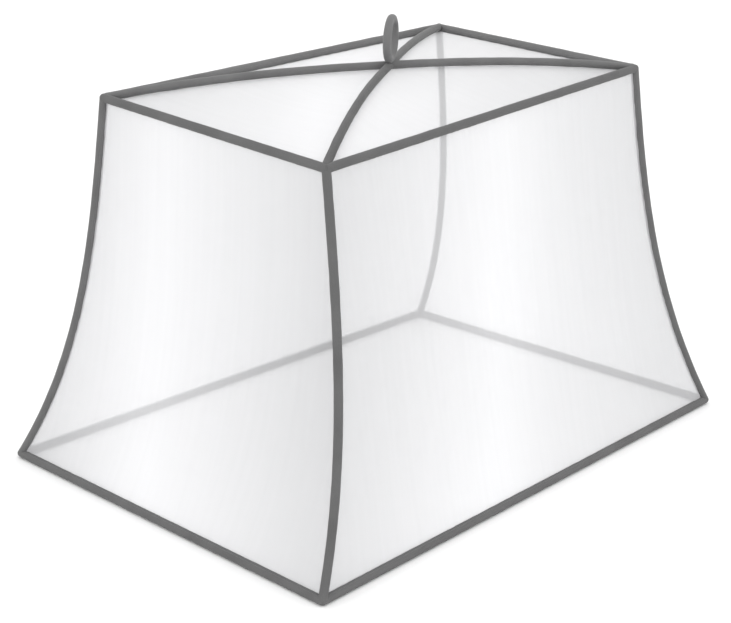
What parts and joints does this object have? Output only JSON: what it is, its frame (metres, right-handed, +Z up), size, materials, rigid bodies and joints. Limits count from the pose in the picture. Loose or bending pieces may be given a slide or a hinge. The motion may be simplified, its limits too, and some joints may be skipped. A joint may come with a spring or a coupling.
{
  "type": "mosquito net canopy with crossed spreader ribs",
  "caption": "Hanging bed net with a rectangular roof, flared sheer walls, bound edges, two arched crossing ribs that spread the roof, and a loop of rolled tape at the crown.",
  "frame": {"origin": "inner top of the hanging loop, where it lies on the hook", "axes": "+X along the canopy's length, +Y across its width, +Z up; the whole canopy lies below the origin"},
  "size_m": [2.5631, 1.7478, 1.8051],
  "materials": {
    "net": "sheer white knitted polyester net, even hexagonal mesh under 2 mm",
    "binding": "grey woven cotton tape rolled over the edge and stitched, matt",
    "rib_sleeve": "grey woven cotton sleeve over a springy rod, matt"
  },
  "bodies": {
    "root": {"roof_front_left": "net", "roof_front_right": "net", "roof_back_right": "net", "roof_back_left": "net", "wall_front_left": "net", "wall_front_right": "net", "wall_back_right": "net", "wall_back_left": "net", "top_binding_front_left": "binding", "top_binding_front_right": "binding", "top_binding_back_right": "binding", "top_binding_back_left": "binding", "hem_binding_front_left": "binding", "hem_binding_front_right": "binding", "hem_binding_back_right": "binding", "hem_binding_back_left": "binding", "corner_binding_front": "binding", "corner_binding_right": "binding", "corner_binding_back": "binding", "corner_binding_left": "binding", "rib_left_right": "rib_sleeve", "rib_front": "rib_sleeve", "rib_back": "rib_sleeve", "hanging_loop": "binding"}
  },
  "joints": []
}
